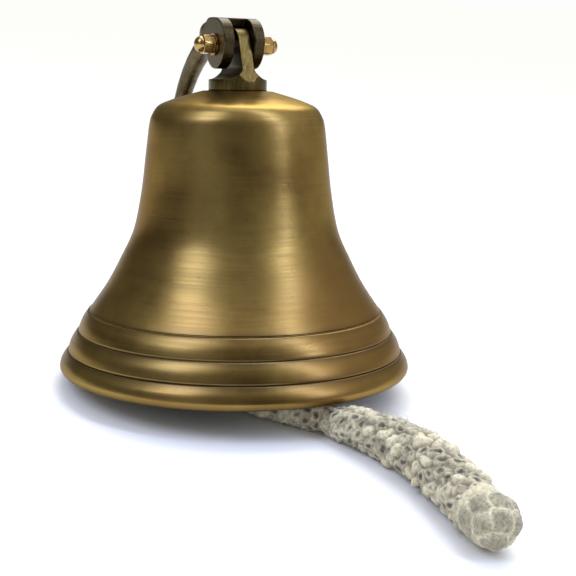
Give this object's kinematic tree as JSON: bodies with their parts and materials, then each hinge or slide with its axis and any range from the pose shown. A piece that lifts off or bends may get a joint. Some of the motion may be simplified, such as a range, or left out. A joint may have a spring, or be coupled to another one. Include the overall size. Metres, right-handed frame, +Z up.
{
  "type": "ship bell",
  "caption": "Ship bell in antique brass, standing on its rim, with a hinged clapper, a plaited cotton lanyard and a hinged wall bracket folded down behind it.",
  "frame": {"origin": "on the floor, under the middle of the box round the bell and its bracket without the lanyard", "axes": "+Z up; +Y from the front of the bell towards the folded bracket behind it; +X along the bracket pin, to the right seen from the front"},
  "size_m": [0.2048, 0.3801, 0.2115],
  "materials": {
    "bell_brass": "antique brown brass, lathe-turned satin",
    "hanger_brass": "cast antique brass, satin",
    "bracket_bronze": "darker, greyer antique brass casting",
    "polished_brass": "polished brass",
    "steel": "zinc-plated steel, dulled",
    "clapper_brass": "dull cast brass",
    "lanyard_cotton": "plaited off-white cotton cord"
  },
  "bodies": {
    "bell": {"bell_shell": "bell_brass", "crown_hanger": "hanger_brass", "crown_stud": "steel", "crown_washer": "steel", "crown_nut": "steel", "clapper_staple": "hanger_brass", "clapper_pin": "steel", "clapper_pin_nut": "steel", "lanyard_becket": "lanyard_cotton", "lanyard_body": "lanyard_cotton", "lanyard_knot": "lanyard_cotton"},
    "clapper": {"clapper_rod": "steel", "clapper_ball": "clapper_brass", "clapper_tail_eye": "steel"},
    "bracket": {"bracket_arm": "bracket_bronze", "wall_plate": "bracket_bronze", "plate_screw": "steel", "hinge_pin": "steel", "hinge_washer_left": "polished_brass", "hinge_washer_right": "polished_brass", "acorn_nut_left": "polished_brass", "acorn_nut_right": "polished_brass"}
  },
  "joints": [
    {"name": "bracket_hinge", "type": "hinge", "parent": "bell", "child": "bracket", "pos_m": [0, 0.00183, 0.19644], "axis": [1, 0, 0], "range_deg": [0, 95]},
    {"name": "clapper_swing", "type": "hinge", "parent": "bell", "child": "clapper", "pos_m": [0, -0.0035, 0.13839], "axis": [1, 0, 0], "range_deg": [-37.1, 26.6], "deforming": ["lanyard_becket", "lanyard_body"]}
  ]
}
